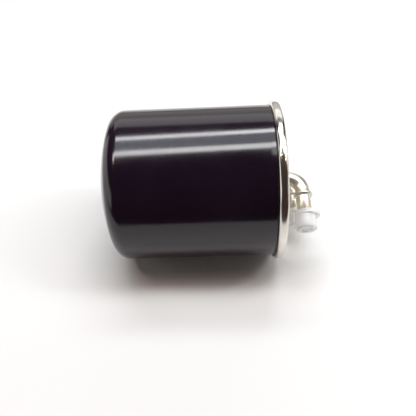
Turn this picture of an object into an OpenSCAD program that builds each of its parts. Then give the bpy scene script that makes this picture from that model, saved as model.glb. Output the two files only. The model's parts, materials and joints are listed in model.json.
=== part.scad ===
// Crimped fuel-filter canister: a drawn can closed by a rolled-seam lid with two elbow ports.
// The can lies along X. X = 0 is where its straight wall ends at the seam, and the ports are at +X.
// Most pieces are turned about a local Z axis and then laid down along X by lay().

/* [Canister] */
// Outside diameter of the can's straight wall
can_d = 83; // [78:0.5:90]
// Length from the end of the straight wall to the middle of the domed end
can_len = 92; // [88:0.5:110]
// Sheet thickness of the can
can_wall = 0.8; // [0.6:0.1:1]
// Radius of the rounded corner between the wall and the domed end
corner_r = 8; // [6:0.5:12]
// Radius of the gently domed end
dome_r = 101; // [90:1:160]

/* [Seam and lid] */
// Width of the rolled seam along the can
seam_w = 4.8; // [4.6:0.1:6]
// How far the seam stands out beyond the can's wall
seam_proud = 2.3; // [2.1:0.05:2.8]
// Sheet thickness of the lid
lid_wall = 0.7; // [0.5:0.1:0.8]
// Radius that rounds the seam's outer edges
seam_round = 1.7; // [1.2:0.1:1.8]
// Depth of the lid's panel below the seam's top edge
panel_depth = 4.6; // [4:0.1:5.4]
// Radius of the stiffening bead pressed into the panel
rib_ring_r = 16.5; // [13:0.5:19]

/* [Ports] */
// Outside diameter of the hose tubes
tube_d = 8; // [7:0.1:8.5]
// Wall thickness of the hose tubes
tube_wall = 1; // [0.7:0.1:1.2]
// Diameter of the tube's nose, drawn down to lead a hose on
nose_d = 7.5; // [6.5:0.1:7.6]
// Radius of the elbow's centreline
bend_r = 7.5; // [6:0.5:9]
// Height of the elbow's corner above the end of the straight wall
elbow_height = 17.8; // [16:0.1:20]
// Distance from the elbow's corner to the tube's open end
leg_len = 26.5; // [25.5:0.5:29]
// Angle of the free legs below level, as the can lies
leg_dip = 20; // [0:1:60]
// Distance from the can's axis to the inlet port
port_pitch = 29; // [27:0.5:30]
// Direction of the inlet port about the axis, away from the legs
port_turn = 46; // [40:1:60]
// Distance from the elbow's corner to the middle of the hose-stop bead
bead_at = 10.2; // [9.8:0.1:10.6]
// Radius of the rounded hose-stop bead
bead_r = 1.2; // [0.8:0.1:1.3]

/* [Transport caps] */
// Outside diameter of a cap's body
cap_d = 11.2; // [10.6:0.1:12]
// Length of a cap from mouth to closed end
cap_len = 10.4; // [9.8:0.1:12]
// Diameter of the collar around a cap's mouth
collar_d = 13; // [12:0.1:14]
// Length of the collar
collar_len = 2.6; // [1.5:0.1:3]
// How far the collar is shifted to one side, as a thumb lip
collar_shift = 1.4; // [0:0.1:1.8]
// Distance from the elbow's corner to the cap's mouth
cap_at = 20.6; // [20.2:0.1:21]
// Clearance between a cap's bore and the tube's nose
cap_gap = 0.3; // [0.2:0.05:0.4]

/* [Filter element] */
// Number of pleats in the paper
pleats = 48; // [30:1:60]
// Outside diameter of the pleated paper
paper_d = 70; // [66:1:72]
// Inside diameter of the pleated paper
paper_bore_d = 31; // [29:1:34]
// Length of the pleated paper between its end discs
paper_len = 58; // [50:1:60]
// Thickness of one sheet of filter paper
paper_t = 0.6; // [0.4:0.1:0.7]
// Rows of holes along the perforated centre tube
hole_rows = 6; // [3:1:7]
// Turns of the support spring
spring_turns = 2.5; // [2:0.5:3]

/* [Hidden] */
$fn = 96;
eps = 0.01;
can_r = can_d / 2;

// the can's neck, drawn in just below the seam
neck_in = 0.5;
neck_h = 0.4;
neck_r = can_r - neck_in;

// the double seam, read outwards from the neck
fit_gap = 0.05;
seam_low = 0.25;
seam_top = seam_low + seam_w;
hook_t = 0.5;
hook_in = neck_r + 0.1;
hook_top = seam_low + 2.6;
seam_r = can_r + seam_proud;
skin_in = seam_r - lid_wall;
flange_out = skin_in - 0.35;
flange_t = 0.6;
flange_top = seam_top - lid_wall - 0.3;
can_hook_low = seam_low + 1.2;
gasket_t = 0.2;
gasket_out = flange_out - 0.6;
chuck_out = neck_r - can_wall - fit_gap;
chuck_in = chuck_out - lid_wall;
panel_top = seam_top - panel_depth;
panel_round = 1.5;
rib_r = 1.6;
rib_rise = 0.7;
inner_edge_r = 0.3;

// port collars and tubes
tube_r = tube_d / 2;
tube_bore_r = tube_r - tube_wall;
nose_r = nose_d / 2;
nose_round = 0.5;
collar_t = 0.75;
collar_rise = 1.6;
braze_w = 1.1;
braze_rise = 1.3;
outlet_stub = 14;
inlet_stub = 2.5;
nose_at = cap_at - 0.4;
cap_bore_r = nose_r + cap_gap;
cap_floor = 1.1;
cap_recess_d = 5.9;
cap_recess = 1.2;
cap_round = 1.3;

// the filter element, read down from the lid
disc_t = 0.6;
disc_edge = 4.5;
disc_r = paper_d / 2 + 1.3;
disc_top = -7;
disc_neck_r = 7;
neck_len = 6;
potting_t = 2.2;
potting_r = disc_r - disc_t - fit_gap;
core_r = 14;
core_wall = 0.6;
paper_top = disc_top - disc_t - potting_t - 2 * fit_gap;
paper_bottom = paper_top - paper_len;
low_disc_top = paper_bottom - potting_t - 2 * fit_gap;
hole_d = 5;
holes_around = 8;
band_w = 3;
band_t = 0.8;
seal_r = disc_neck_r - disc_t - fit_gap;
clip_w = 2.4;
clip_t = 0.25;
seat_r = 17;
seat_hole_r = 6;
seat_t = 0.8;
seat_lip = 3;
spring_r = 13;
wire_r = 1.1;
spring_top = low_disc_top - disc_t - seat_t - 2 * fit_gap;
dome_inside = -can_len + can_wall;

module lay() rotate([0, 90, 0]) children();

// a port's own frame: Z up the tube, X towards the side that the elbow turns to
module at_outlet() lay() rotate([0, 0, leg_dip - 90]) children();

module at_inlet() {
    lay()
        rotate([0, 0, port_turn])
        translate([port_pitch, 0, 0])
        rotate([0, 0, leg_dip - 90 - port_turn])
        children();
}

// from a port's frame to its free leg: Z out along the leg from the elbow's corner
module on_leg() translate([0, 0, elbow_height]) rotate([0, 90, 0]) children();

// half section of a round vessel: straight wall, rounded corner and domed end, solid to the axis
module vessel_section(r, corner, dome, apex, top) {
    dome_z = apex + dome;
    side = r - corner;
    corner_z = dome_z - sqrt(pow(dome - corner, 2) - side * side);
    reach = 2 * dome;
    slope = (corner_z - dome_z) / side;
    intersection() {
        union() {
            intersection() {
                translate([0, dome_z]) circle(r = dome, $fn = 360);
                polygon([[0, dome_z], [reach, dome_z + reach * slope], [0, dome_z + reach * slope]]);
            }
            translate([side, corner_z]) circle(r = corner);
            translate([0, corner_z]) square([r, top - corner_z]);
        }
        translate([0, apex - 1]) square([r + 1, top - apex + 1]);
    }
}

// half section of the vessel with its neck above the straight wall
module necked_section(r, corner, dome, apex, top) {
    vessel_section(r, corner, dome, apex, 0);
    polygon([[0, 0], [r, 0], [r - neck_in, neck_h], [r - neck_in, top], [0, top]]);
}

module can() {
    inside = can_r - can_wall;
    color("#15131a")
        lay()
        rotate_extrude($fn = 180) {
            difference() {
                necked_section(can_r, corner_r, dome_r, -can_len, flange_top);
                necked_section(inside, corner_r - can_wall, dome_r - can_wall, dome_inside, flange_top + 1);
            }
            translate([neck_r - can_wall, flange_top - flange_t])
                square([flange_out - neck_r + can_wall, flange_t]);
            translate([flange_out - flange_t, can_hook_low])
                square([flange_t, flange_top - can_hook_low]);
        }
}

// a band w wide and h high whose two outer corners are rounded by r
module rounded_band(w, h, r) {
    square([w - r, h]);
    translate([w - r - eps, r]) square([r + eps, h - 2 * r]);
    translate([w - r, r]) circle(r = r);
    translate([w - r, h - r]) circle(r = r);
}

// the roll's outline, with its inner top corner broken
module seam_outline() {
    difference() {
        translate([chuck_in, seam_low]) rounded_band(seam_r - chuck_in, seam_w, seam_round);
        translate([chuck_in, seam_top - inner_edge_r])
            difference() {
                translate([-1, 0]) square([1 + inner_edge_r, inner_edge_r + 1]);
                translate([inner_edge_r, 0]) circle(r = inner_edge_r);
            }
    }
}

// the space inside the roll, where the can's flange is hooked
module seam_space() {
    translate([chuck_out, seam_low + lid_wall])
        rounded_band(skin_in - chuck_out, seam_w - 2 * lid_wall, seam_round - lid_wall);
}

module lid_section() {
    difference() {
        seam_outline();
        translate([chuck_out, seam_low - 1]) square([hook_in - chuck_out, lid_wall + 1 + eps]);
        seam_space();
    }
    translate([hook_in, seam_low + lid_wall - eps]) square([hook_t, hook_top - seam_low - lid_wall]);
    translate([chuck_in, panel_top - lid_wall]) square([lid_wall, seam_w / 2]);
    translate([0, panel_top - lid_wall]) square([chuck_in + eps, lid_wall]);
    translate([chuck_in - panel_round, panel_top - eps])
        difference() {
            square(panel_round + eps);
            translate([0, panel_round]) circle(r = panel_round);
        }
    intersection() {
        translate([rib_ring_r, panel_top + rib_rise - rib_r]) circle(r = rib_r);
        translate([rib_ring_r - rib_r, panel_top - lid_wall]) square([2 * rib_r, lid_wall + rib_rise]);
    }
}

// drawn-up collar around a tube, with the hole left for the tube
module port_collar() {
    translate([0, 0, panel_top - eps])
        rotate_extrude() {
            translate([tube_r + fit_gap, 0]) square([collar_t, collar_rise]);
            translate([tube_r + fit_gap + collar_t - eps, 0])
                difference() {
                    square(1);
                    translate([1, 1]) circle(r = 1);
                }
        }
}

module port_hole() {
    translate([0, 0, panel_top - lid_wall - 1]) cylinder(r = tube_r + fit_gap, h = lid_wall + 3);
}

module lid() {
    color("#d8d3c8")
        difference() {
            union() {
                lay() rotate_extrude($fn = 180) lid_section();
                at_outlet() port_collar();
                at_inlet() port_collar();
            }
            at_outlet() port_hole();
            at_inlet() port_hole();
        }
}

// sealing compound between the can's flange and the lid's roll
module seam_gasket() {
    color("#3a4a3c")
        lay()
        rotate_extrude($fn = 180)
        translate([chuck_out + fit_gap, flange_top + fit_gap])
        square([gasket_out - chuck_out - fit_gap, gasket_t]);
}

module tube_section() {
    difference() {
        circle(r = tube_r);
        circle(r = tube_bore_r);
    }
}

// one bent hose tube: stub through the lid, bend, free leg with hose-stop bead and drawn nose
module elbow(stub) {
    nose_len = leg_len - nose_at;
    translate([0, 0, -stub]) linear_extrude(stub + elbow_height - bend_r) tube_section();
    translate([bend_r, 0, elbow_height - bend_r])
        rotate([90, 0, 0])
        rotate([0, 0, 90])
        rotate_extrude(angle = 90)
        translate([bend_r, 0])
        tube_section();
    on_leg() {
        translate([0, 0, bend_r]) linear_extrude(nose_at - bend_r) tube_section();
        translate([0, 0, bead_at])
            rotate_extrude()
            intersection() {
                translate([tube_r, 0]) circle(r = bead_r);
                translate([tube_r - tube_wall / 2, -bead_r]) square(2 * bead_r);
            }
        translate([0, 0, nose_at])
            rotate_extrude()
            translate([tube_bore_r, 0])
            polygon([
                [0, 0], [nose_r - tube_bore_r, 0], [nose_r - tube_bore_r, nose_len - nose_round],
                [nose_r - tube_bore_r - nose_round / 2, nose_len], [0, nose_len]
            ]);
    }
}

module outlet_elbow() color("#cfcabd") at_outlet() elbow(outlet_stub);

module inlet_elbow() color("#cfcabd") at_inlet() elbow(inlet_stub);

// concave fillet of braze between the collar's rim and the tube
module braze_ring() {
    translate([0, 0, panel_top + collar_rise + fit_gap])
        rotate_extrude()
        translate([tube_r + fit_gap / 2, 0])
        difference() {
            square([braze_w, braze_rise]);
            translate([braze_w + 0.2, braze_rise + 0.4]) circle(r = braze_rise);
        }
}

module outlet_braze() color("#b9a56b") at_outlet() braze_ring();

module inlet_braze() color("#b9a56b") at_inlet() braze_ring();

// blind push-on cap with a collar that stands out further on one side, and a dished end
module cap() {
    r = cap_d / 2;
    translate([0, 0, cap_at])
        difference() {
            union() {
                rotate_extrude() {
                    square([r, cap_len - cap_round]);
                    square([r - cap_round, cap_len]);
                    translate([r - cap_round, cap_len - cap_round]) circle(r = cap_round);
                }
                translate([-collar_shift, 0, 0])
                    rotate_extrude() {
                        square([collar_d / 2 - 0.4, collar_len]);
                        translate([0, 0.4]) square([collar_d / 2, collar_len - 0.8]);
                        translate([collar_d / 2 - 0.4, 0.4]) circle(r = 0.4);
                        translate([collar_d / 2 - 0.4, collar_len - 0.4]) circle(r = 0.4);
                    }
            }
            translate([0, 0, -1]) cylinder(r = cap_bore_r, h = cap_len + 1 - cap_floor - cap_recess);
            translate([0, 0, cap_len - cap_recess]) cylinder(d = cap_recess_d, h = cap_recess + 1);
        }
}

module outlet_cap() color("#e9edf0", 0.6) at_outlet() on_leg() cap();

module inlet_cap() color("#e9edf0", 0.6) at_inlet() on_leg() cap();

// pressed disc with a neck that takes the seal around the outlet tube
module upper_end_disc() {
    color("#b8bcc0")
        lay()
        rotate_extrude() {
            translate([disc_neck_r - disc_t, disc_top - disc_t])
                square([disc_r - disc_neck_r + disc_t, disc_t]);
            translate([disc_r - disc_t, disc_top - disc_edge]) square([disc_t, disc_edge]);
            translate([disc_neck_r - disc_t, disc_top - neck_len]) square([disc_t, neck_len]);
        }
}

module lower_end_disc() {
    color("#b8bcc0")
        lay()
        rotate_extrude() {
            translate([0, low_disc_top - disc_t]) square([disc_r, disc_t]);
            translate([disc_r - disc_t, low_disc_top - disc_t]) square([disc_t, disc_edge]);
        }
}

// hardened adhesive that seals one end of the pleats to a disc
module potting(z, bore) {
    lay()
        translate([0, 0, z])
        difference() {
            cylinder(r = potting_r, h = potting_t);
            translate([0, 0, -1]) cylinder(r = bore, h = potting_t + 2);
        }
}

module upper_potting() color("#c9a25a") potting(paper_top + fit_gap, disc_neck_r + fit_gap);

module lower_potting() color("#c9a25a") potting(paper_bottom - potting_t - fit_gap, core_r / 2);

// the star of pleats: an outward and an inward fold for each pleat, one sheet thick
module pleated_paper() {
    step = 360 / pleats;
    outer = paper_d / 2;
    inner = paper_bore_d / 2;
    outer_turn = paper_t / 2 / outer * 180 / PI;
    inner_turn = paper_t / 2 / inner * 180 / PI;
    outside = [
        for (i = [0:pleats - 1])
            for (p = [[outer, -outer_turn], [outer, outer_turn], [inner + paper_t, step / 2]])
                p[0] * [cos(i * step + p[1]), sin(i * step + p[1])]
    ];
    inside = [
        for (i = [0:pleats - 1])
            for (p = [[outer - paper_t, 0], [inner, step / 2 - inner_turn], [inner, step / 2 + inner_turn]])
                p[0] * [cos(i * step + p[1]), sin(i * step + p[1])]
    ];
    color("#d9c79a")
        lay()
        translate([0, 0, paper_bottom])
        linear_extrude(paper_len)
        difference() {
            polygon(outside);
            polygon(inside);
        }
}

// two bands of hot-melt that hold the pleats evenly spaced
module pleat_bands() {
    color("#e6d9b8")
        lay()
        for (share = [0.33, 0.67])
            translate([0, 0, paper_bottom + paper_len * share - band_w / 2])
                difference() {
                    cylinder(r = paper_d / 2 + fit_gap + band_t, h = band_w);
                    translate([0, 0, -1]) cylinder(r = paper_d / 2 + fit_gap, h = band_w + 2);
                }
}

// folded strip that closes the paper's side seam, inside the last pleat
module seam_clip() {
    color("#9ea3a8")
        lay()
        rotate([0, 0, 180 / pleats])
        translate([core_r + core_wall / 2, 0, paper_bottom + 1])
        linear_extrude(paper_len - 2)
        difference() {
            translate([0, -clip_w / 2])
                square([paper_bore_d / 2 - core_r - core_wall / 2 - fit_gap, clip_w]);
            translate([clip_t, clip_t - clip_w / 2])
                square([paper_bore_d, clip_w - 2 * clip_t]);
        }
}

module centre_tube() {
    pitch = paper_len / (hole_rows + 1);
    color("#a9adb1")
        lay()
        difference() {
            translate([0, 0, paper_bottom]) cylinder(r = core_r, h = paper_len);
            translate([0, 0, paper_bottom - 1]) cylinder(r = core_r - core_wall, h = paper_len + 2);
            for (row = [1:hole_rows])
                for (i = [0:holes_around / 2 - 1])
                    translate([0, 0, paper_bottom + row * pitch])
                        rotate([0, 0, (i + (row % 2) / 2) * 360 / holes_around])
                        rotate([90, 0, 0])
                        cylinder(d = hole_d, h = 2 * core_r + 2, center = true);
        }
}

// rubber bush between the outlet stub and the upper disc's neck
module neck_seal() {
    color("#26282a")
        lay()
        translate([0, 0, disc_top - neck_len])
        difference() {
            union() {
                cylinder(r = seal_r, h = neck_len);
                translate([0, 0, neck_len + fit_gap]) cylinder(r = disc_neck_r + 1.5, h = 1.4);
                translate([0, 0, neck_len - 1]) cylinder(r = seal_r, h = 1.5);
            }
            translate([0, 0, -1]) cylinder(r = tube_r + fit_gap / 2, h = neck_len + 4);
        }
}

module spring_seat() {
    color("#8f949a")
        lay()
        rotate_extrude() {
            translate([seat_hole_r, spring_top]) square([seat_r - seat_hole_r, seat_t]);
            translate([seat_r - seat_t, spring_top - seat_lip + seat_t]) square([seat_t, seat_lip]);
        }
}

// steel compression coil between the seat and the domed end, swept as a ring of sections
module support_spring() {
    sides = 8;
    per_turn = 28;
    rings = ceil(spring_turns * per_turn);
    top = spring_top - wire_r - fit_gap;
    bottom = dome_inside + (dome_r - sqrt(dome_r * dome_r - spring_r * spring_r)) + wire_r + 0.4;
    points = [
        for (i = [0:rings], k = [0:sides - 1])
            let (
                turn = i * 360 / per_turn,
                r = spring_r + wire_r * cos(k * 360 / sides),
                z = top + (bottom - top) * i / rings + wire_r * sin(k * 360 / sides)
            )
            [r * cos(turn), r * sin(turn), z]
    ];
    faces = concat(
        [[for (k = [0:sides - 1]) k]],
        [[for (k = [sides - 1:-1:0]) rings * sides + k]],
        [
            for (i = [0:rings - 1], k = [0:sides - 1])
                let (low = i * sides, high = low + sides, next = (k + 1) % sides)
                [low + k, high + k, high + next, low + next]
        ]
    );
    color("#70757a") lay() polyhedron(points, faces, convexity = 8);
}

can();
lid();
seam_gasket();
outlet_elbow();
inlet_elbow();
outlet_braze();
inlet_braze();
outlet_cap();
inlet_cap();
upper_end_disc();
lower_end_disc();
upper_potting();
lower_potting();
pleated_paper();
pleat_bands();
seam_clip();
centre_tube();
neck_seal();
spring_seat();
support_spring();
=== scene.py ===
# A crimped fuel filter canister, lying on a pale table with its two port caps still on.
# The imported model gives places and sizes. What shows from outside is rebuilt here with finer shapes.
import json
import math

import bmesh
import bpy
from mathutils import Matrix, Vector


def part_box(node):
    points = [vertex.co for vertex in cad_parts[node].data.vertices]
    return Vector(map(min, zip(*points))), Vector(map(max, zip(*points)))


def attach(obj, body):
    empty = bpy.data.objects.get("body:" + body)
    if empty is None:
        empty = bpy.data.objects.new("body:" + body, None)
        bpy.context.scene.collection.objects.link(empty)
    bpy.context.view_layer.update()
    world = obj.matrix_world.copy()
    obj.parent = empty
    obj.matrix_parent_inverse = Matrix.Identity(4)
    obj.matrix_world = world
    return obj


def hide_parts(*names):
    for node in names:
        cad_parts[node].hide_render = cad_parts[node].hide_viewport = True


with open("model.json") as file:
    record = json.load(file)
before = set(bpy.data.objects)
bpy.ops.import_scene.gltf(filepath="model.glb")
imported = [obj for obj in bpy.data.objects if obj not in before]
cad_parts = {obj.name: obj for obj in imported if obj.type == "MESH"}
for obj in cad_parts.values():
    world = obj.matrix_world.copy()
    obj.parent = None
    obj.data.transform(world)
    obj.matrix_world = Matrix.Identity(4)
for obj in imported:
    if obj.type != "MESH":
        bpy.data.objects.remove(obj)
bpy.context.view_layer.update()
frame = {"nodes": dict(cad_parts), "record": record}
nodes = frame["nodes"]
mounts = {mount["name"]: mount for mount in frame["record"]["mounts"]}
mm = 0.001
print("frame loaded:", len(nodes), "nodes")


def arc(centre, radius, start, end, steps=8):
    # points on a round stretch, angles in degrees
    angles = [math.radians(start + (end - start) * i / steps) for i in range(steps + 1)]
    return [(centre[0] + radius * math.cos(a), centre[1] + radius * math.sin(a)) for a in angles]


def rolled(centre, reach, half, squareness, steps):
    # a rolled-over edge from its top to its foot, rounder than a box and squarer than a half circle
    points = []
    for i in range(steps + 1):
        turn = math.pi / 2 - math.pi * i / steps
        out = abs(math.cos(turn)) ** (2 / squareness)
        up = math.copysign(abs(math.sin(turn)) ** (2 / squareness), math.sin(turn))
        points.append((centre[0] + reach * out, centre[1] + half * up))
    return points


def portFrame(place, along, side):
    # the place, the axis and two directions across it
    along = Vector(along).normalized()
    side = (Vector(side) - along * Vector(side).dot(along)).normalized()
    return Vector(place), along, side, along.cross(side)


lying = portFrame((0, 0, 0), (1, 0, 0), (0, 0, 1))


def mergeAndTurnOut(mesh):
    # points that coincide become one, and every face points outwards
    work = bmesh.new()
    work.from_mesh(mesh)
    bmesh.ops.remove_doubles(work, verts=work.verts, dist=1e-7)
    bmesh.ops.recalc_face_normals(work, faces=work.faces)
    work.to_mesh(mesh)
    work.free()


def shade(mesh, sharpAngle):
    mesh.shade_smooth()
    mesh.set_sharp_from_angle(angle=math.radians(sharpAngle))


def placed(name, data):
    # an object for a mesh, a lamp or a camera, put into the scene
    thing = bpy.data.objects.new(name, data)
    bpy.context.scene.collection.objects.link(thing)
    return thing


def keepOutcome(piece):
    # runs the piece's modifiers once and keeps what they give as its plain mesh
    bpy.context.view_layer.update()
    outcome = bpy.data.meshes.new_from_object(piece.evaluated_get(bpy.context.evaluated_depsgraph_get()))
    piece.modifiers.clear()
    piece.data = outcome


def meshPiece(name, verts, faces, sharpAngle=40.0):
    mesh = bpy.data.meshes.new(name)
    mesh.from_pydata([tuple(v) for v in verts], [], faces)
    mergeAndTurnOut(mesh)
    shade(mesh, sharpAngle)
    return placed(name, mesh)


def loftPiece(name, ringAt, count, around, closed, sharpAngle=40.0):
    # rings of points joined in order; an open loft ends in a single point at each end
    verts = []
    faces = []
    for i in range(count):
        ring = ringAt(i)
        verts.extend(ring if len(ring) == around else ring * around)
    last = count if closed else count - 1
    for i in range(last):
        low = i * around
        high = ((i + 1) % count) * around
        for k in range(around):
            turn = (k + 1) % around
            faces.append((low + k, low + turn, high + turn, high + k))
    return meshPiece(name, verts, faces, sharpAngle)


def spunPiece(name, outline, stand=lying, around=192, closed=False, wobble=None, sharpAngle=40.0):
    # outline is a list of (radius, height) in millimetres, turned about the stand's axis
    place, along, side, across = stand

    def ringAt(i):
        radius, height = outline[i]
        if radius <= 0:
            return [place + along * height * mm]
        ring = []
        for k in range(around):
            angle = 2 * math.pi * k / around
            reach = (radius + (wobble(radius, height, angle) if wobble else 0)) * mm
            outward = side * math.cos(angle) + across * math.sin(angle)
            ring.append(place + along * height * mm + outward * reach)
        return ring

    return loftPiece(name, ringAt, len(outline), around, closed, sharpAngle)


def shaderGroup(name, inputs, outputs):
    group = bpy.data.node_groups.new(name, "ShaderNodeTree")
    for label, kind, value in inputs:
        socket = group.interface.new_socket(name=label, in_out="INPUT", socket_type=kind)
        socket.default_value = value
    for label, kind in outputs:
        group.interface.new_socket(name=label, in_out="OUTPUT", socket_type=kind)
    return group, group.nodes.new("NodeGroupInput"), group.nodes.new("NodeGroupOutput")


def addNode(tree, kind, values=(), **settings):
    node = tree.nodes.new(kind)
    for key, value in settings.items():
        setattr(node, key, value)
    for socket, value in values:
        node.inputs[socket].default_value = value
    return node


def mathNode(tree, operation, first, second=None):
    node = addNode(tree, "ShaderNodeMath", operation=operation)
    for socket, value in ((0, first), (1, second)):
        if value is None:
            continue
        if isinstance(value, (int, float)):
            node.inputs[socket].default_value = value
        else:
            tree.links.new(value, node.inputs[socket])
    return node.outputs[0]


def makeGrain():
    # fine even unevenness, such as orange peel in paint or the skin of a moulding
    group, start, end = shaderGroup(
        "fineGrain",
        [("Scale", "NodeSocketFloat", 800.0), ("Detail", "NodeSocketFloat", 2.0)],
        [("Height", "NodeSocketFloat")],
    )
    coords = addNode(group, "ShaderNodeTexCoord")
    noise = addNode(group, "ShaderNodeTexNoise", [("Roughness", 0.5)])
    group.links.new(coords.outputs["Object"], noise.inputs["Vector"])
    group.links.new(start.outputs["Scale"], noise.inputs["Scale"])
    group.links.new(start.outputs["Detail"], noise.inputs["Detail"])
    group.links.new(noise.outputs["Fac"], end.inputs["Height"])
    return group


def makeSmudge():
    # broad soft patches from handling, with a few finer ones inside them
    group, start, end = shaderGroup(
        "handlingSmudge",
        [
            ("Scale", "NodeSocketFloat", 40.0), ("Low", "NodeSocketFloat", 0.1),
            ("High", "NodeSocketFloat", 0.2),
        ],
        [("Value", "NodeSocketFloat"), ("Mask", "NodeSocketFloat")],
    )
    coords = addNode(group, "ShaderNodeTexCoord")
    noise = addNode(group, "ShaderNodeTexNoise", [("Detail", 5.0), ("Roughness", 0.6), ("Distortion", 0.4)])
    group.links.new(coords.outputs["Object"], noise.inputs["Vector"])
    group.links.new(start.outputs["Scale"], noise.inputs["Scale"])
    spread = addNode(group, "ShaderNodeMapRange", [("From Min", 0.35), ("From Max", 0.65)])
    group.links.new(noise.outputs["Fac"], spread.inputs["Value"])
    group.links.new(spread.outputs["Result"], end.inputs["Mask"])
    blend = addNode(group, "ShaderNodeMapRange")
    group.links.new(spread.outputs["Result"], blend.inputs["Value"])
    group.links.new(start.outputs["Low"], blend.inputs["To Min"])
    group.links.new(start.outputs["High"], blend.inputs["To Max"])
    group.links.new(blend.outputs["Result"], end.inputs["Value"])
    return group


def makeTurnedLines():
    # fine lines that run round the X axis, as a roller or a die leaves them
    group, start, end = shaderGroup(
        "turnedLines",
        [("Scale", "NodeSocketFloat", 4000.0), ("Around", "NodeSocketFloat", 1.5)],
        [("Height", "NodeSocketFloat")],
    )
    coords = addNode(group, "ShaderNodeTexCoord")
    parts = addNode(group, "ShaderNodeSeparateXYZ")
    group.links.new(coords.outputs["Object"], parts.inputs[0])
    ySquared = mathNode(group, "MULTIPLY", parts.outputs["Y"], parts.outputs["Y"])
    zSquared = mathNode(group, "MULTIPLY", parts.outputs["Z"], parts.outputs["Z"])
    radius = mathNode(group, "SQRT", mathNode(group, "ADD", ySquared, zSquared))
    turn = mathNode(group, "ARCTAN2", parts.outputs["Z"], parts.outputs["Y"])
    joined = addNode(group, "ShaderNodeCombineXYZ")
    scaled = (
        ("X", parts.outputs["X"], start.outputs["Scale"]), ("Y", radius, start.outputs["Scale"]),
        ("Z", turn, start.outputs["Around"]),
    )
    for axis, value, scale in scaled:
        group.links.new(mathNode(group, "MULTIPLY", value, scale), joined.inputs[axis])
    noise = addNode(group, "ShaderNodeTexNoise", [("Scale", 1.0), ("Detail", 3.0), ("Roughness", 0.6)])
    group.links.new(joined.outputs[0], noise.inputs["Vector"])
    group.links.new(noise.outputs["Fac"], end.inputs["Height"])
    return group


def makeSpecks():
    # sparse specks of dust: small cells of which only a few are kept
    group, start, end = shaderGroup(
        "dustSpecks",
        [
            ("Scale", "NodeSocketFloat", 220.0), ("Share", "NodeSocketFloat", 0.1),
            ("Size", "NodeSocketFloat", 0.08),
        ],
        [("Mask", "NodeSocketFloat")],
    )
    coords = addNode(group, "ShaderNodeTexCoord")
    cells = addNode(group, "ShaderNodeTexVoronoi")
    group.links.new(coords.outputs["Object"], cells.inputs["Vector"])
    group.links.new(start.outputs["Scale"], cells.inputs["Scale"])
    pick = addNode(group, "ShaderNodeSeparateColor")
    group.links.new(cells.outputs["Color"], pick.inputs[0])
    kept = mathNode(group, "LESS_THAN", pick.outputs[0], start.outputs["Share"])
    near = mathNode(group, "LESS_THAN", cells.outputs["Distance"], start.outputs["Size"])
    group.links.new(mathNode(group, "MULTIPLY", kept, near), end.inputs["Mask"])
    return group


fineGrain = makeGrain()
handlingSmudge = makeSmudge()
turnedLines = makeTurnedLines()
dustSpecks = makeSpecks()


def newFinish(name, values):
    # a material with its shader; constant values go on the shader's own sockets
    finish = bpy.data.materials.new(name)
    finish.use_nodes = True
    tree = finish.node_tree
    shader = tree.nodes["Principled BSDF"]
    for label, value in values.items():
        shader.inputs[label].default_value = value
    return finish, tree, shader


def useGroup(tree, group, **values):
    node = addNode(tree, "ShaderNodeGroup", node_tree=group)
    for label, value in values.items():
        node.inputs[label].default_value = value
    return node


def bumpFrom(tree, shader, height, depth):
    # depth in millimetres
    bump = addNode(tree, "ShaderNodeBump", [("Strength", 1.0), ("Distance", depth * mm)])
    tree.links.new(height, bump.inputs["Height"])
    tree.links.new(bump.outputs["Normal"], shader.inputs["Normal"])


def mixColours(tree, factor, first, second):
    mix = addNode(tree, "ShaderNodeMix", data_type="RGBA")
    mix.inputs["A"].default_value = (*first, 1.0)
    mix.inputs["B"].default_value = (*second, 1.0)
    tree.links.new(factor, mix.inputs["Factor"])
    return mix.outputs["Result"]


def blackPaint():
    # stoved gloss black with a trace of purple, faint orange peel and a little dust
    look = {
        "deep": (0.0070, 0.0030, 0.0085), "thin": (0.0105, 0.0050, 0.0120), "dust": (0.16, 0.15, 0.15),
        "depth": 0.004,
    }
    finish, tree, shader = newFinish("blackPaint", {"Metallic": 0.0, "IOR": 1.5})
    smudge = useGroup(tree, handlingSmudge, Scale=26.0, Low=0.13, High=0.17)
    tree.links.new(smudge.outputs["Value"], shader.inputs["Roughness"])
    paint = mixColours(tree, smudge.outputs["Mask"], look["deep"], look["thin"])
    specks = useGroup(tree, dustSpecks, Scale=210.0, Share=0.03, Size=0.05)
    dusty = addNode(tree, "ShaderNodeMix", data_type="RGBA")
    dusty.inputs["B"].default_value = (*look["dust"], 1.0)
    tree.links.new(paint, dusty.inputs["A"])
    tree.links.new(specks.outputs["Mask"], dusty.inputs["Factor"])
    tree.links.new(dusty.outputs["Result"], shader.inputs["Base Color"])
    peel = useGroup(tree, fineGrain, Scale=900.0, Detail=1.0)
    bumpFrom(tree, shader, peel.outputs["Height"], look["depth"])
    return finish


def smudgedFinish(name, look, relief, values):
    # colour and roughness drift together with handling, over a fine relief; depth is in millimetres
    finish, tree, shader = newFinish(name, values)
    smudge = useGroup(tree, handlingSmudge, Scale=look["patch"], Low=look["low"], High=look["high"])
    tree.links.new(smudge.outputs["Value"], shader.inputs["Roughness"])
    colour = mixColours(tree, smudge.outputs["Mask"], look["clean"], look["dull"])
    tree.links.new(colour, shader.inputs["Base Color"])
    group, sizes = relief
    bumpFrom(tree, shader, useGroup(tree, group, **sizes).outputs["Height"], look["depth"])
    return finish


def brightPlate():
    # nickel-plated sheet, with the roller's lines running round the seam
    look = {
        "clean": (0.80, 0.775, 0.72), "dull": (0.66, 0.63, 0.575), "patch": 60.0, "low": 0.12, "high": 0.2,
        "depth": 0.0015,
    }
    lines = (turnedLines, {"Scale": 5200.0, "Around": 2.5})
    return smudgedFinish("brightPlate", look, lines, {"Metallic": 1.0})


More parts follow.
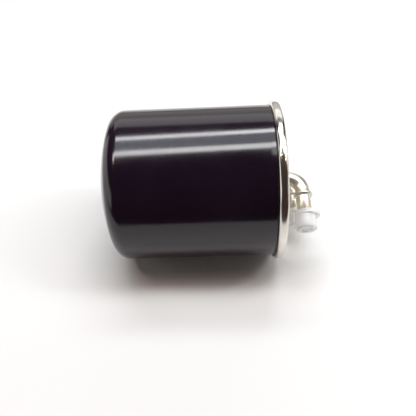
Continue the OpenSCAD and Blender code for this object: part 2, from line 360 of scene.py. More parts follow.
def nickelTube():
    # satin plating over drawn tube
    look = {
        "clean": (0.76, 0.73, 0.66), "dull": (0.58, 0.54, 0.46), "patch": 180.0, "low": 0.28, "high": 0.36,
        "depth": 0.0015,
    }
    grain = (fineGrain, {"Scale": 2600.0, "Detail": 3.0})
    return smudgedFinish("nickelTube", look, grain, {"Metallic": 1.0})


def milkyPlastic():
    # soft natural polythene: cloudy, and clear enough to show the tube inside
    look = {
        "clean": (0.96, 0.965, 0.97), "dull": (0.91, 0.92, 0.93), "patch": 240.0, "low": 0.22, "high": 0.32,
        "depth": 0.01,
    }
    skin = (fineGrain, {"Scale": 1500.0, "Detail": 2.0})
    return smudgedFinish("milkyPlastic", look, skin, {"Metallic": 0.0, "IOR": 1.46, "Alpha": 0.5})


def plainFinish(name, clean, dull, low, high, patch, depth, metallic):
    # the grain's scale follows the patches': coarser and more broken on what isn't metal
    look = {"clean": clean, "dull": dull, "patch": patch, "low": low, "high": high, "depth": depth}
    times, detail = (14, 3.0) if metallic else (9, 4.0)
    grain = (fineGrain, {"Scale": patch * times, "Detail": detail})
    return smudgedFinish(name, look, grain, {"Metallic": metallic})


# name, clean and dull colour, lowest and highest roughness, patch scale, depth in millimetres, metallic
plain = {
    "braze": ("brazeMetal", (0.74, 0.62, 0.36), (0.50, 0.40, 0.24), 0.3, 0.5, 300.0, 0.02, 1.0),
    "zinc_steel": ("zincSteel", (0.62, 0.64, 0.66), (0.45, 0.47, 0.50), 0.32, 0.5, 120.0, 0.01, 1.0),
    "spring_steel": ("springSteel", (0.42, 0.43, 0.45), (0.28, 0.28, 0.30), 0.3, 0.45, 220.0, 0.006, 1.0),
    "amber_adhesive": ("amberAdhesive", (0.60, 0.36, 0.11), (0.42, 0.23, 0.06), 0.22, 0.4, 90.0, 0.05, 0.0),
    "filter_paper": ("filterPaper", (0.78, 0.66, 0.42), (0.66, 0.52, 0.30), 0.75, 0.92, 150.0, 0.04, 0.0),
    "hot_melt": ("hotMelt", (0.82, 0.74, 0.52), (0.74, 0.64, 0.42), 0.3, 0.45, 100.0, 0.03, 0.0),
    "seal_rubber": ("sealRubber", (0.022, 0.023, 0.025), (0.045, 0.045, 0.048), 0.5, 0.7, 200.0, 0.015, 0.0),
    "seam_compound": ("seamCompound", (0.06, 0.10, 0.065), (0.04, 0.07, 0.045), 0.45, 0.6, 200.0, 0.01, 0.0),
}
finishes = {
    "black_paint": blackPaint(), "bright_plate": brightPlate(), "nickel_tube": nickelTube(),
    "milky_plastic": milkyPlastic(),
}
for slotName, values in plain.items():
    finishes[slotName] = plainFinish(*values)
print("finishes made:", len(finishes))


def dress(piece, slotName):
    piece.data.materials.clear()
    piece.data.materials.append(finishes[slotName])


def hand(piece, slotName, body, *replaced):
    # gives a finished piece its finish, its body and the nodes it stands for
    dress(piece, slotName)
    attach(piece, body)
    if replaced:
        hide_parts(*replaced)


# millimetres, with heights along the can from the seam plane; dome is the domed end's radius
can = {
    "radius": 41.5, "wall": 0.8, "corner": 8.0, "dome": 101.0, "neckIn": 0.5, "neckHeight": 0.4,
    "flangeOut": 42.75, "flangeTop": 4.05, "flangeThick": 0.6, "flangeRound": 0.5, "flangeFillet": 1.1,
    "curl": 0.4, "hookLow": 1.45, "wallTop": -0.15, "stepOut": 0.03, "stepIn": 0.04, "stepLow": 0.05,
    "stepHigh": 0.1,
}
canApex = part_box("can")[0].x / mm


def vesselOutline(radius, corner, dome, apex, top):
    # from the middle of the domed end, round the corner and up the wall
    domeMiddle = apex + dome
    side = radius - corner
    cornerMiddle = domeMiddle - math.sqrt((dome - corner) ** 2 - side ** 2)
    meet = math.degrees(math.atan2(cornerMiddle - domeMiddle, side))
    domeSteps, cornerSteps, wallSteps = 48, 28, 24
    bottom = arc((0, domeMiddle), dome, -90, meet, domeSteps)
    bottom[0] = (0, apex)
    wall = [(radius, cornerMiddle + (top - cornerMiddle) * i / wallSteps) for i in range(1, wallSteps + 1)]
    return bottom + arc((side, cornerMiddle), corner, meet, 0, cornerSteps)[1:] + wall


def makeCan():
    neck = can["radius"] - can["neckIn"]
    inside = can["radius"] - can["wall"]
    low = can["flangeTop"] - can["flangeThick"]
    hookIn = can["flangeOut"] - can["flangeThick"]
    outer = vesselOutline(can["radius"], can["corner"], can["dome"], canApex, can["wallTop"])
    outer += [
        (can["radius"] - can["stepOut"], 0.0), (neck + can["stepIn"], can["neckHeight"] - can["stepLow"]),
        (neck, can["neckHeight"] + can["stepHigh"]),
    ]
    curl = arc((neck + can["curl"], low - can["curl"]), can["curl"], 180, 90, 4)
    flange = [(hookIn, low), (hookIn, can["hookLow"]), (can["flangeOut"], can["hookLow"])]
    edge = can["flangeRound"]
    flange += arc((can["flangeOut"] - edge, can["flangeTop"] - edge), edge, 0, 90, 5)
    fillet = can["flangeFillet"]
    flange += arc((neck - can["wall"] + fillet, can["flangeTop"] - fillet), fillet, 90, 180, 5)
    wall = can["wall"]
    lining = vesselOutline(inside, can["corner"] - wall, can["dome"] - wall, canApex + wall, 0.0)
    lining = [(inside - can["neckIn"], can["neckHeight"])] + lining[::-1]
    return spunPiece("canShell", outer + curl + flange + lining, around=256)


hand(makeCan(), "black_paint", "canister", "can")
print("can made")


# millimetres; restsAt is how far above the seam's foot the rim touches the table
seam = {
    "radius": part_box("lid")[1].y / mm, "foot": 0.25, "top": 5.05, "sheet": 0.7, "depth": 2.1,
    "squareness": 2.7, "restsAt": 1.7, "chuckIn": 39.45, "hookIn": 41.1, "hookThick": 0.5, "hookTop": 2.85,
    "hookEdge": 0.15, "innerEdge": 0.3,
}
panel = {"top": 0.45, "round": 1.5, "beadRing": 16.5, "beadRadius": 1.6, "beadRise": 0.7}
port = {
    "hole": 4.05, "collarThick": 0.75, "collarRise": 1.6, "foot": 1.0, "lipRound": 0.25, "holeEdge": 0.1,
    "drill": (-4, 6), "sink": 0.2, "under": 0.02,
}


def collarOutline(hole, bottom):
    # the drawn-up lip round a tube, from its hole out to the flat of the panel
    top = panel["top"] + port["collarRise"]
    rim = hole + port["collarThick"]
    foot = arc((rim + port["foot"], panel["top"] + port["foot"]), port["foot"], 180, 270, 8)
    turned = port["lipRound"]
    lip = arc((rim - turned, top - turned), turned, 90, 0, 4)
    edge = port["holeEdge"]
    return [(hole, bottom), (hole, top - edge), (hole + edge, top)] + lip + foot


def standOf(node):
    # where a tube stands on the lid, from the middle of its braze ring
    low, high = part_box(node)
    middle = (low + high) / 2
    return portFrame((0, middle.y, middle.z), (1, 0, 0), (0, 0, 1))


outletStand = standOf("outlet_braze")
inletStand = standOf("inlet_braze")


def makeLid():
    s = seam
    outLow = s["foot"]
    underside = panel["top"] - s["sheet"]
    rise = panel["beadRise"]
    reach = math.degrees(math.acos(1 - rise / panel["beadRadius"]))
    crown = (panel["beadRing"], panel["top"] + rise - panel["beadRadius"])
    pressed = arc(crown, panel["beadRadius"], 90 + reach, 90 - reach, 12)
    bend = panel["round"]
    wallFoot = arc((s["chuckIn"] - bend, panel["top"] + bend), bend, 270, 360, 10)
    topIn = arc((s["chuckIn"] + s["innerEdge"], s["top"] - s["innerEdge"]), s["innerEdge"], 180, 90, 5)
    rollMiddle = (s["radius"] - s["depth"], (s["top"] + outLow) / 2)
    roll = rolled(rollMiddle, s["depth"], (s["top"] - outLow) / 2, s["squareness"], 28)
    hook = [
        (s["hookIn"] + s["hookEdge"], outLow), (s["hookIn"], outLow + s["hookEdge"]),
        (s["hookIn"], s["hookTop"]), (s["hookIn"] + s["hookThick"], s["hookTop"]),
        (s["hookIn"] + s["hookThick"], outLow + s["sheet"]),
    ]
    skin = s["radius"] - s["sheet"]
    chuckOut = s["chuckIn"] + s["sheet"]
    inside = [
        (skin, outLow + s["sheet"]), (skin, s["top"] - s["sheet"]), (chuckOut, s["top"] - s["sheet"]),
        (chuckOut, underside),
    ]
    outline = collarOutline(port["hole"], underside) + pressed + wallFoot + topIn + roll + hook + inside
    lid = spunPiece("lidShell", outline, around=256, closed=True)
    # the outlet's hole is in the spun outline; the inlet's is drilled and given the same collar
    low, high = port["drill"]
    hole = port["hole"]
    cutter = spunPiece("cutter", [(0, low), (hole, low), (hole, high), (0, high)], inletStand, 96)
    sunk = underside + port["sink"]
    ring = collarOutline(hole, sunk)
    ring = ring[:-1] + [(ring[-1][0], panel["top"] - port["under"]), (ring[-1][0], sunk)]
    collar = spunPiece("collar", ring, inletStand, 96, closed=True)
    for other, operation in ((cutter, "DIFFERENCE"), (collar, "UNION")):
        change = lid.modifiers.new(other.name, "BOOLEAN")
        change.object = other
        change.operation = operation
        change.solver = "EXACT"
    keepOutcome(lid)
    shade(lid.data, 40.0)
    for scrap in (cutter, collar):
        bpy.data.objects.remove(scrap)
    return lid


hand(makeLid(), "bright_plate", "canister", "lid")
print("lid made")


# millimetres; places on the leg are measured from the corner where its two centre lines meet
tube = {
    "radius": 4.0, "bore": 3.0, "bend": 7.5, "legLength": 26.5, "beadAt": 10.2, "beadRadius": 1.2,
    "foot": 0.35, "noseAt": 20.2, "noseBefore": 0.2, "noseAfter": 0.25, "noseRadius": 3.75, "noseRound": 0.45,
    "boreEdge": 0.1, "outletStub": 14.0, "inletStub": 2.5, "around": 72, "bendSteps": 28,
}
legAxis = Vector(mounts["outlet_spigot"]["axis"]).normalized()
elbowHeight = mounts["outlet_spigot"]["pos_m"][0] / mm


def elbowPath(base, along):
    # along is the distance from the start of the bend, in millimetres
    bend = tube["bend"]
    quarter = bend * math.pi / 2
    up = Vector((1, 0, 0))
    start = base + up * (elbowHeight - bend) * mm
    if along <= 0:
        return start + up * along * mm, up
    if along < quarter:
        angle = along / bend
        middle = start + legAxis * bend * mm
        outward = -legAxis * math.cos(angle) + up * math.sin(angle)
        return middle + outward * bend * mm, up * math.cos(angle) + legAxis * math.sin(angle)
    return start + (legAxis + up) * bend * mm + legAxis * (along - quarter) * mm, legAxis


def legOutline(toAlong):
    # bead, drawn nose and open end, as (distance along the path, radius)
    bead = tube["beadAt"]
    big = tube["beadRadius"]
    foot = tube["foot"]
    half = math.sqrt((big + foot) ** 2 - foot ** 2)
    lean = math.degrees(math.atan2(foot, half))
    radius = tube["radius"]
    rise = arc((bead - half, radius + foot), foot, 270, 360 - lean, 4)
    roll = arc((bead, radius), big, 180 - lean, lean, 16)
    fall = arc((bead + half, radius + foot), foot, 180 + lean, 270, 4)
    nose = [
        (tube["noseAt"] - tube["noseBefore"], radius),
        (tube["noseAt"] + tube["noseAfter"], tube["noseRadius"]),
    ]
    turned = tube["noseRound"]
    lip = arc((tube["legLength"] - turned, tube["noseRadius"] - turned), turned, 90, 0, 5)
    return [(toAlong(s), r) for s, r in rise + roll[1:] + fall[1:] + nose + lip]


def makeElbow(name, stand, stub):
    base = stand[0]
    bend = tube["bend"]
    quarter = bend * math.pi / 2
    foot = -(elbowHeight - bend) - stub

    def toAlong(fromCorner):
        return quarter + fromCorner - bend

    bendStations = [quarter * i / tube["bendSteps"] for i in range(tube["bendSteps"] + 1)]
    outer = [(foot, tube["radius"])] + [(s, tube["radius"]) for s in bendStations] + legOutline(toAlong)
    end = toAlong(tube["legLength"])
    edge = tube["boreEdge"]
    bore = [(end, tube["bore"] + edge), (end - edge, tube["bore"])]
    bore += [(s, tube["bore"]) for s in bendStations[::-1]]
    stations = outer + bore + [(foot, tube["bore"])]
    plane = Vector((1, 0, 0)).cross(legAxis)

    def ringAt(i):
        centre, tangent = elbowPath(base, stations[i][0])
        radius = stations[i][1] * mm
        side = tangent.cross(plane)
        turns = [2 * math.pi * k / tube["around"] for k in range(tube["around"])]
        return [centre + (side * math.cos(a) + plane * math.sin(a)) * radius for a in turns]

    return loftPiece(name, ringAt, len(stations), tube["around"], True)


hand(makeElbow("outletElbow", outletStand, tube["outletStub"]), "nickel_tube", "canister", "outlet_elbow")
hand(makeElbow("inletElbow", inletStand, tube["inletStub"]), "nickel_tube", "canister", "inlet_elbow")


# millimetres, and degrees for the two ends of the hollow
braze = {
    "gap": 0.03, "hollow": 1.3, "hollowFrom": 258, "hollowTo": 186, "lift": 1.7, "footWidth": 0.95,
    "width": 1.0, "step": 0.25, "height": 1.45, "uneven": 0.09, "fullAt": 1.1, "outletFlow": 0.7,
    "inletFlow": 2.9,
}


def makeBraze(name, stand, start):
    # a concave fillet that has flowed a little unevenly round the joint
    low = panel["top"] + port["collarRise"] + braze["gap"]
    inside = tube["radius"] + braze["gap"]
    middle = (inside + braze["hollow"], low + braze["lift"])
    hollow = arc(middle, braze["hollow"], braze["hollowFrom"], braze["hollowTo"], 10)
    foot = [
        (inside, low), (inside + braze["footWidth"], low), (inside + braze["width"], low + braze["step"]),
    ]
    outline = foot + hollow + [(inside, low + braze["height"])]

    def flow(radius, height, angle):
        share = (radius - inside) / braze["fullAt"]
        wave = math.sin(3 * angle + start) + 0.6 * math.sin(7 * angle + 2 * start)
        return braze["uneven"] * share * wave

    return spunPiece(name, outline, stand, 96, closed=True, wobble=flow, sharpAngle=60)


hand(makeBraze("outletBraze", outletStand, braze["outletFlow"]), "braze", "canister", "outlet_braze")
hand(makeBraze("inletBraze", inletStand, braze["inletFlow"]), "braze", "canister", "inlet_braze")
print("ports made")


# millimetres; mouthAt is measured along the tube's leg, as on the tube
cap = {
    "radius": 5.6, "length": 10.4, "bore": 4.05, "floor": 1.1, "recess": 1.2, "recessRadius": 2.95,
    "collarRadius": 6.5, "collarLength": 2.6, "collarShift": 1.4, "collarEdge": 0.4, "endRound": 1.3,
    "mouthEdge": 0.15, "dishEdge": 0.25, "dishFillet": 0.4, "boreRound": 0.5, "footOut": 0.03,
    "footRise": 0.35, "plainRise": 2.6, "clear": 0.02, "mouthAt": 20.6, "around": 96,
}


def collarReach(angle):
    # the lip is a round disc set off to one side; it fades into the body opposite
    shift = cap["collarShift"]
    disc = shift * math.cos(angle) + math.sqrt(cap["collarRadius"] ** 2 - (shift * math.sin(angle)) ** 2)
    return max(disc, cap["radius"] + cap["clear"])


def quarterTurn(steps):
    return [math.pi / 2 * i / steps for i in range(steps + 1)]


def capOutline():
    # (distance from the mouth, radius, share of the lip's outline, inset from it)
    edge = cap["collarEdge"]
    body = cap["radius"]
    low = cap["collarLength"]
    mouth = [(0, cap["bore"] + cap["mouthEdge"], 0, 0)]
    mouthEdge = [(edge - edge * math.cos(a), 0, 1, edge - edge * math.sin(a)) for a in quarterTurn(5)]
    stepEdge = [(low - edge + edge * math.sin(a), 0, 1, edge - edge * math.cos(a)) for a in quarterTurn(5)]
    foot = [
        (low + cap["clear"], body + cap["footOut"], 0, 0), (low + cap["footRise"], body, 0, 0),
        (low + cap["plainRise"], body, 0, 0),
    ]
    end = cap["length"]
    turned = cap["endRound"]
    endEdge = [(h, r, 0, 0) for r, h in arc((body - turned, end - turned), turned, 0, 90, 9)]
    recessed = cap["recessRadius"]
    edge = cap["dishEdge"]
    fillet = cap["dishFillet"]
    deep = end - cap["recess"]
    dish = [(h, r, 0, 0) for r, h in arc((recessed + edge, end - edge), edge, 90, 180, 4)]
    dish += [(h, r, 0, 0) for r, h in arc((recessed - fillet, deep + fillet), fillet, 0, -90, 4)]
    dish.append((deep, 0, 0, 0))
    inside = end - cap["recess"] - cap["floor"]
    bore = [(inside, 0, 0, 0)]
    turned = cap["boreRound"]
    bore += [(h, r, 0, 0) for r, h in arc((cap["bore"] - turned, inside - turned), turned, 90, 0, 4)]
    bore.append((cap["mouthEdge"], cap["bore"], 0, 0))
    return mouth, mouthEdge + stepEdge + foot + endEdge + dish, bore


def makeCap(name, stand):
    place, along, side, across = portFrame(stand[0] + Vector((elbowHeight * mm, 0, 0)), legAxis, (1, 0, 0))
    mouth, outside, bore = capOutline()
    # from the pole of the outside, back over the mouth and up the bore to its pole
    stations = outside[::-1] + mouth + bore[::-1]

    def ringAt(i):
        distance, radius, lip, inset = stations[i]
        centre = place + along * (cap["mouthAt"] + distance) * mm
        if radius <= 0 and not lip:
            return [centre]
        ring = []
        for k in range(cap["around"]):
            angle = 2 * math.pi * k / cap["around"]
            reach = (collarReach(angle) - inset if lip else radius) * mm
            ring.append(centre + (side * math.cos(angle) + across * math.sin(angle)) * reach)
        return ring

    return loftPiece(name, ringAt, len(stations), cap["around"], False, 50)


hand(makeCap("outletCap", outletStand), "milky_plastic", "outlet_cap", "outlet_cap")
hand(makeCap("inletCap", inletStand), "milky_plastic", "inlet_cap", "inlet_cap")
print("caps made")


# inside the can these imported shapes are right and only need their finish
inner = {
    "seam_gasket": "seam_compound", "upper_end_disc": "zinc_steel", "lower_end_disc": "zinc_steel",
    "upper_potting": "amber_adhesive", "lower_potting": "amber_adhesive", "pleat_bands": "hot_melt",
    "seam_clip": "zinc_steel", "neck_seal": "seal_rubber", "spring_seat": "zinc_steel",
}
for nodeName, slotName in inner.items():
    dress(nodes[nodeName], slotName)


def growthTree(name, **sizes):
    # an empty tree whose named inputs are the sizes it needs, whole numbers and lengths
    tree = bpy.data.node_groups.new(name, "GeometryNodeTree")
    for label, value in sizes.items():
        kind = "NodeSocketInt" if isinstance(value, int) else "NodeSocketFloat"
        tree.interface.new_socket(name=label, in_out="INPUT", socket_type=kind)
    tree.interface.new_socket(name="Geometry", in_out="OUTPUT", socket_type="NodeSocketGeometry")
    start = tree.nodes.new("NodeGroupInput")
    end = tree.nodes.new("NodeGroupOutput")
    return tree, start.outputs, end.inputs["Geometry"]


def wired(tree, kind, links=(), values=(), **settings):
    # a node with its inputs linked, found by name or by number
    node = addNode(tree, kind, values, **settings)
    for socket, source in links:
        tree.links.new(source, node.inputs[socket])
    return node


def grown(tree, result, end, slotName, sharpAngle=35.0, **sizes):
    # closes the tree, runs it once with the sizes and keeps the outcome as a plain mesh
    whole = wired(tree, "GeometryNodeRealizeInstances", [("Geometry", result)])
    coated = wired(
        tree, "GeometryNodeSetMaterial", [("Geometry", whole.outputs[0])], [("Material", finishes[slotName])],
    )
    tree.links.new(coated.outputs[0], end)
    piece = placed(tree.name, bpy.data.meshes.new(tree.name))
    change = piece.modifiers.new(tree.name, "NODES")
    change.node_group = tree
    for item in tree.interface.items_tree:
        if item.in_out == "INPUT":
            change[item.identifier] = sizes[item.name]
    keepOutcome(piece)
    mergeAndTurnOut(piece.data)
    shade(piece.data, sharpAngle)
    return piece


def spanOf(node):
    low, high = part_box(node)
    return low.x, high.x


spring = {"turns": 2.5, "radius": 13.0, "wire": 1.1, "around": 14, "perTurn": 48}


def makeSpring():
    low, high = spanOf("support_spring")
    sizes = {
        "Turns": spring["turns"], "Radius": spring["radius"] * mm, "Wire": spring["wire"] * mm,
        "Foot": low + spring["wire"] * mm, "Height": high - low - 2 * spring["wire"] * mm,
        "Around": spring["around"], "Per Turn": spring["perTurn"],
    }
    tree, start, end = growthTree("supportSpring", **sizes)
    coil = wired(tree, "GeometryNodeCurveSpiral", [
        ("Resolution", start["Per Turn"]), ("Rotations", start["Turns"]), ("Start Radius", start["Radius"]),
        ("End Radius", start["Radius"]), ("Height", start["Height"]),
    ])
    section = wired(tree, "GeometryNodeCurvePrimitiveCircle", [
        ("Resolution", start["Around"]), ("Radius", start["Wire"]),
    ])
    wire = wired(tree, "GeometryNodeCurveToMesh", [
        ("Curve", coil.outputs[0]), ("Profile Curve", section.outputs[0]),
    ], [("Fill Caps", True)])
    foot = wired(tree, "ShaderNodeCombineXYZ", [("X", start["Foot"])])
    laid = wired(tree, "GeometryNodeTransform", [
        ("Geometry", wire.outputs[0]), ("Translation", foot.outputs[0]),
    ], [("Rotation", (0, math.pi / 2, 0))])
    return grown(tree, laid.outputs[0], end, "spring_steel", **sizes)


pleat = {"count": 48, "outer": 35.0, "inner": 15.5, "thick": 0.6, "foldSteps": 3}


def foldStar():
    # the star whose rounded corners just reach the paper's outer and inner edge, as (outer, inner) radius
    fold = pleat["thick"] / 2
    outside = pleat["outer"] - 2 * fold
    inside = pleat["inner"] + 2 * fold
    half = math.pi / pleat["count"]
    drop = outside - inside * math.cos(half)
    over = inside * math.sin(half)
    lean = math.atan2(over, drop) - math.asin(2 * fold / math.hypot(drop, over))
    return outside + fold / math.sin(lean), inside - fold / math.sin(lean + half)


def makePaper():
    # one strip of paper, as wide as the element is long, run round a star of folds
    low, high = spanOf("pleated_paper")
    starOuter, starInner = foldStar()
    sizes = {
        "Pleats": pleat["count"], "Outer": starOuter * mm, "Inner": starInner * mm,
        "Thickness": pleat["thick"] * mm, "Width": high - low, "Middle": (high + low) / 2,
        "Fold": pleat["thick"] / 2 * mm, "Fold Steps": pleat["foldSteps"],
    }
    tree, start, end = growthTree("pleatedPaper", **sizes)
    star = wired(tree, "GeometryNodeCurveStar", [
        ("Points", start["Pleats"]), ("Inner Radius", start["Inner"]), ("Outer Radius", start["Outer"]),
    ])
    folds = wired(tree, "GeometryNodeFilletCurve", [
        ("Curve", star.outputs[0]), ("Radius", start["Fold"]), ("Count", start["Fold Steps"]),
    ], mode="POLY")
    section = wired(tree, "GeometryNodeCurvePrimitiveQuadrilateral", [
        ("Width", start["Thickness"]), ("Height", start["Width"]),
    ])
    strip = wired(tree, "GeometryNodeCurveToMesh", [
        ("Curve", folds.outputs[0]), ("Profile Curve", section.outputs[0]),
    ])
    middle = wired(tree, "ShaderNodeCombineXYZ", [("X", start["Middle"])])
    laid = wired(tree, "GeometryNodeTransform", [
        ("Geometry", strip.outputs[0]), ("Translation", middle.outputs[0]),
    ], [("Rotation", (0, math.pi / 2, 0))])
    return grown(tree, laid.outputs[0], end, "filter_paper", **sizes)


core = {"radius": 14.0, "wall": 0.6, "hole": 2.5, "rows": 6, "across": 4, "around": 96, "holeAround": 20}


def makeCore():
    # a tube with rows of round holes, every second row turned by half a step
    low, high = spanOf("centre_tube")
    sizes = {
        "Radius": core["radius"] * mm, "Bore": (core["radius"] - core["wall"]) * mm,
        "Hole": core["hole"] * mm, "Length": high - low, "Middle": (high + low) / 2, "Rows": core["rows"],
        "Across": core["across"], "Around": core["around"], "Hole Around": core["holeAround"],
    }
    tree, start, end = growthTree("centreTube", **sizes)

    def worked(operation, first, second=None):
        return mathNode(tree, operation, first, second)

    def drum(radius, length, sides):
        return wired(tree, "GeometryNodeMeshCylinder", [
            ("Vertices", sides), ("Radius", radius), ("Depth", length),
        ]).outputs["Mesh"]

    longer = worked("MULTIPLY", start["Length"], 1.2)
    across = worked("MULTIPLY", start["Radius"], 2.4)
    index = tree.nodes.new("GeometryNodeInputIndex").outputs[0]
    row = worked("FLOOR", worked("DIVIDE", index, start["Across"]))
    place = worked("SUBTRACT", index, worked("MULTIPLY", row, start["Across"]))
    half = worked("MULTIPLY", worked("MODULO", row, 2.0), 0.5)
    share = worked("DIVIDE", worked("ADD", place, half), start["Across"])
    angle = worked("MULTIPLY", share, math.pi)
    step = worked("DIVIDE", start["Length"], worked("ADD", start["Rows"], 1.0))
    fromFoot = worked("MULTIPLY", worked("ADD", row, 1.0), step)
    along = worked("SUBTRACT", fromFoot, worked("MULTIPLY", start["Length"], 0.5))
    spot = wired(tree, "ShaderNodeCombineXYZ", [("Z", along)])
    aim = wired(tree, "ShaderNodeCombineXYZ", [("Z", angle)], [("X", math.pi / 2)])
    total = worked("MULTIPLY", start["Rows"], start["Across"])
    points = wired(tree, "GeometryNodePoints", [("Count", total), ("Position", spot.outputs[0])])
    drills = wired(tree, "GeometryNodeInstanceOnPoints", [
        ("Points", points.outputs[0]), ("Instance", drum(start["Hole"], across, start["Hole Around"])),
        ("Rotation", aim.outputs[0]),
    ])
    drilled = wired(tree, "GeometryNodeRealizeInstances", [("Geometry", drills.outputs[0])])
    cut = wired(tree, "GeometryNodeMeshBoolean", [
        ("Mesh 1", drum(start["Radius"], start["Length"], start["Around"])),
        ("Mesh 2", drum(start["Bore"], longer, start["Around"])), ("Mesh 2", drilled.outputs[0]),
    ], [("Self Intersection", True)], operation="DIFFERENCE", solver="EXACT")
    middle = wired(tree, "ShaderNodeCombineXYZ", [("X", start["Middle"])])
    laid = wired(tree, "GeometryNodeTransform", [
        ("Geometry", cut.outputs["Mesh"]), ("Translation", middle.outputs[0]),
    ], [("Rotation", (0, math.pi / 2, 0))])
    return grown(tree, laid.outputs[0], end, "zinc_steel", **sizes)


for piece, slotName, node in (
    (makeSpring(), "spring_steel", "support_spring"), (makePaper(), "filter_paper", "pleated_paper"),
    (makeCore(), "zinc_steel", "centre_tube"),
):
    hand(piece, slotName, "canister", node)
print("inside parts made")


# metres
setting = {
    "tableAlbedo": (0.72, 0.72, 0.715), "tableDim": 0.985, "tableSize": 1.7, "tableFront": 0.185,
    "roomGlow": (0.05, 0.034, 0.03), "backdrop": (0.97, 0.97, 0.97),
}
# degrees and metres, with the lens and its sensor in millimetres
viewing = {
    "azimuth": 1.81, "elevation": 45.0, "roll": -3.31, "distance": 0.263, "aside": -0.0343, "above": -0.0157,
    "lens": 40.49, "sensor": 36.0, "near": 0.01, "far": 20,
}


def makeTable():
    # the can rests on its seam and on the corner of its domed end, so the table tips with it
    side = can["radius"] - can["corner"]
    cornerX = canApex + can["dome"] - math.sqrt((can["dome"] - can["corner"]) ** 2 - side ** 2)
    rimX = seam["foot"] + seam["restsAt"]
    tip = math.atan2(seam["radius"] - can["radius"], rimX - cornerX)
    half = setting["tableSize"] / 2
    mesh = bpy.data.meshes.new("table")
    front = -setting["tableFront"]
    corners = [(-half, front, 0), (half, front, 0), (half, half, 0), (-half, half, 0)]
    mesh.from_pydata(corners, [], [(0, 1, 2, 3)])
    place = Matrix.Translation((rimX * mm, 0, -seam["radius"] * mm)) @ Matrix.Rotation(tip, 4, "Y")
    mesh.transform(place)
    table = placed("table", mesh)
    values = {"Metallic": 0.0, "Roughness": 0.8, "Specular IOR Level": 0.1}
    finish, tree, shader = newFinish("tablePaper", values)
    patches = useGroup(tree, handlingSmudge, Scale=9.0, Low=0.0, High=1.0)
    light = setting["tableAlbedo"]
    dim = tuple(channel * setting["tableDim"] for channel in light)
    tree.links.new(mixColours(tree, patches.outputs["Mask"], light, dim), shader.inputs["Base Color"])
    mesh.materials.append(finish)


def softLight(name, angle, distance, wide, long, radiance, tint=(1, 1, 1), turn=0.0, shift=0.0, swing=0.0):
    # a lamp above the table: angle is up from the far side, turn is round the vertical,
    # shift is along the can and swing turns the lamp in its own plane
    about = Matrix.Rotation(math.radians(turn), 3, "Z")
    direction = about @ Vector((0, math.cos(math.radians(angle)), math.sin(math.radians(angle))))
    level = Matrix.Rotation(math.radians(swing), 3, direction) @ about @ Vector((1, 0, 0))
    light = bpy.data.lights.new(name, "AREA")
    light.shape = "RECTANGLE"
    light.size = long
    light.size_y = wide
    light.color = tint
    light.energy = radiance * math.pi * wide * long
    lamp = placed(name, light)
    facing = Matrix((level, direction.cross(level), direction)).transposed().to_4x4()
    lamp.matrix_world = Matrix.Translation(direction * distance + level * shift) @ facing
    lamp.visible_camera = False


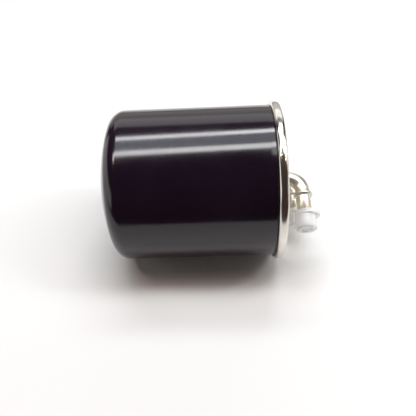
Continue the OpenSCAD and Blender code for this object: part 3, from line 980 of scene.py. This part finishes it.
# radiance is how bright each lamp's face looks, lengths are in metres
lamps = {
    "stripOver": {
        "angle": 88.6, "distance": 1.20, "wide": 0.16, "long": 1.60, "radiance": 15.0,
        "tint": (0.99, 0.995, 1.0), "shift": 0.10, "swing": 11.0,
    },
    "stripAside": {
        "angle": 91.0, "distance": 1.25, "wide": 0.16, "long": 0.70, "radiance": 20.0,
        "tint": (0.99, 0.995, 1.0), "shift": 1.25,
    },
    "stripBehind": {
        "angle": 64.0, "distance": 1.20, "wide": 0.125, "long": 0.82, "radiance": 17.0,
        "tint": (0.97, 0.985, 1.0), "shift": -0.02, "swing": 12.0,
    },
    "panelBetween": {
        "angle": 76.0, "distance": 1.22, "wide": 0.26, "long": 0.82, "radiance": 2.4,
        "tint": (0.80, 0.90, 1.0), "shift": -0.02, "swing": 12.0,
    },
    "warmLeft": {
        "angle": 101.0, "distance": 1.10, "wide": 0.05, "long": 0.05, "radiance": 120.0,
        "tint": (1.0, 0.66, 0.54), "shift": -0.55,
    },
    "warmRight": {
        "angle": 108.0, "distance": 1.10, "wide": 0.05, "long": 0.05, "radiance": 70.0,
        "tint": (1.0, 0.60, 0.42), "shift": 0.50,
    },
    "portCard": {
        "angle": 97.0, "distance": 1.20, "wide": 0.18, "long": 0.5, "radiance": 4.0,
        "tint": (1.0, 0.98, 0.95), "shift": 0.45,
    },
    "rightBox": {
        "angle": 40.0, "distance": 1.10, "wide": 0.50, "long": 0.6, "radiance": 1.1,
        "tint": (1.0, 0.99, 0.97), "turn": -90.0,
    },
    "backHigh": {
        "angle": 33.0, "distance": 1.20, "wide": 0.46, "long": 1.4, "radiance": 1.25,
        "tint": (0.98, 0.99, 1.0),
    },
    "backLow": {
        "angle": 11.0, "distance": 1.22, "wide": 0.46, "long": 2.0, "radiance": 0.6,
        "tint": (1.0, 0.97, 0.90),
    },
    "rightCard": {
        "angle": 12.0, "distance": 0.90, "wide": 0.40, "long": 1.4, "radiance": 0.8,
        "tint": (1.0, 0.99, 0.96), "turn": -90.0,
    },
    "leftCard": {
        "angle": 10.0, "distance": 0.90, "wide": 0.40, "long": 1.4, "radiance": 1.4,
        "tint": (1.0, 0.98, 0.93), "turn": 90.0,
    },
}


def makeLights():
    for name, values in lamps.items():
        softLight(name, **values)
    world = bpy.data.worlds.new("room")
    bpy.context.scene.world = world
    world.use_nodes = True
    tree = world.node_tree
    glow = tree.nodes["Background"]
    glow.inputs["Color"].default_value = (*setting["roomGlow"], 1.0)
    seen = addNode(tree, "ShaderNodeBackground", [("Color", (*setting["backdrop"], 1.0))])
    path = addNode(tree, "ShaderNodeLightPath")
    mix = addNode(tree, "ShaderNodeMixShader")
    tree.links.new(path.outputs["Is Camera Ray"], mix.inputs["Fac"])
    tree.links.new(glow.outputs[0], mix.inputs[1])
    tree.links.new(seen.outputs[0], mix.inputs[2])
    tree.links.new(mix.outputs[0], tree.nodes["World Output"].inputs["Surface"])


def makeCamera():
    azimuth = math.radians(viewing["azimuth"])
    elevation = math.radians(viewing["elevation"])
    roll = math.radians(viewing["roll"])
    flat = math.cos(elevation)
    back = Vector((math.sin(azimuth) * flat, -math.cos(azimuth) * flat, math.sin(elevation)))
    level = Vector((math.cos(azimuth), math.sin(azimuth), 0))
    upright = back.cross(level)
    right = level * math.cos(roll) + upright * math.sin(roll)
    up = upright * math.cos(roll) - level * math.sin(roll)
    lens = bpy.data.cameras.new("camera")
    lens.lens = viewing["lens"]
    lens.sensor_width = viewing["sensor"]
    lens.clip_start = viewing["near"]
    lens.clip_end = viewing["far"]
    camera = placed("camera", lens)
    place = back * viewing["distance"] + right * viewing["aside"] + up * viewing["above"]
    turned = Matrix((right, up, back)).transposed().to_4x4()
    camera.matrix_world = Matrix.Translation(place) @ turned
    bpy.context.scene.camera = camera


makeTable()
makeLights()
makeCamera()
bpy.context.scene.view_settings.view_transform = "Standard"
print("setting made")
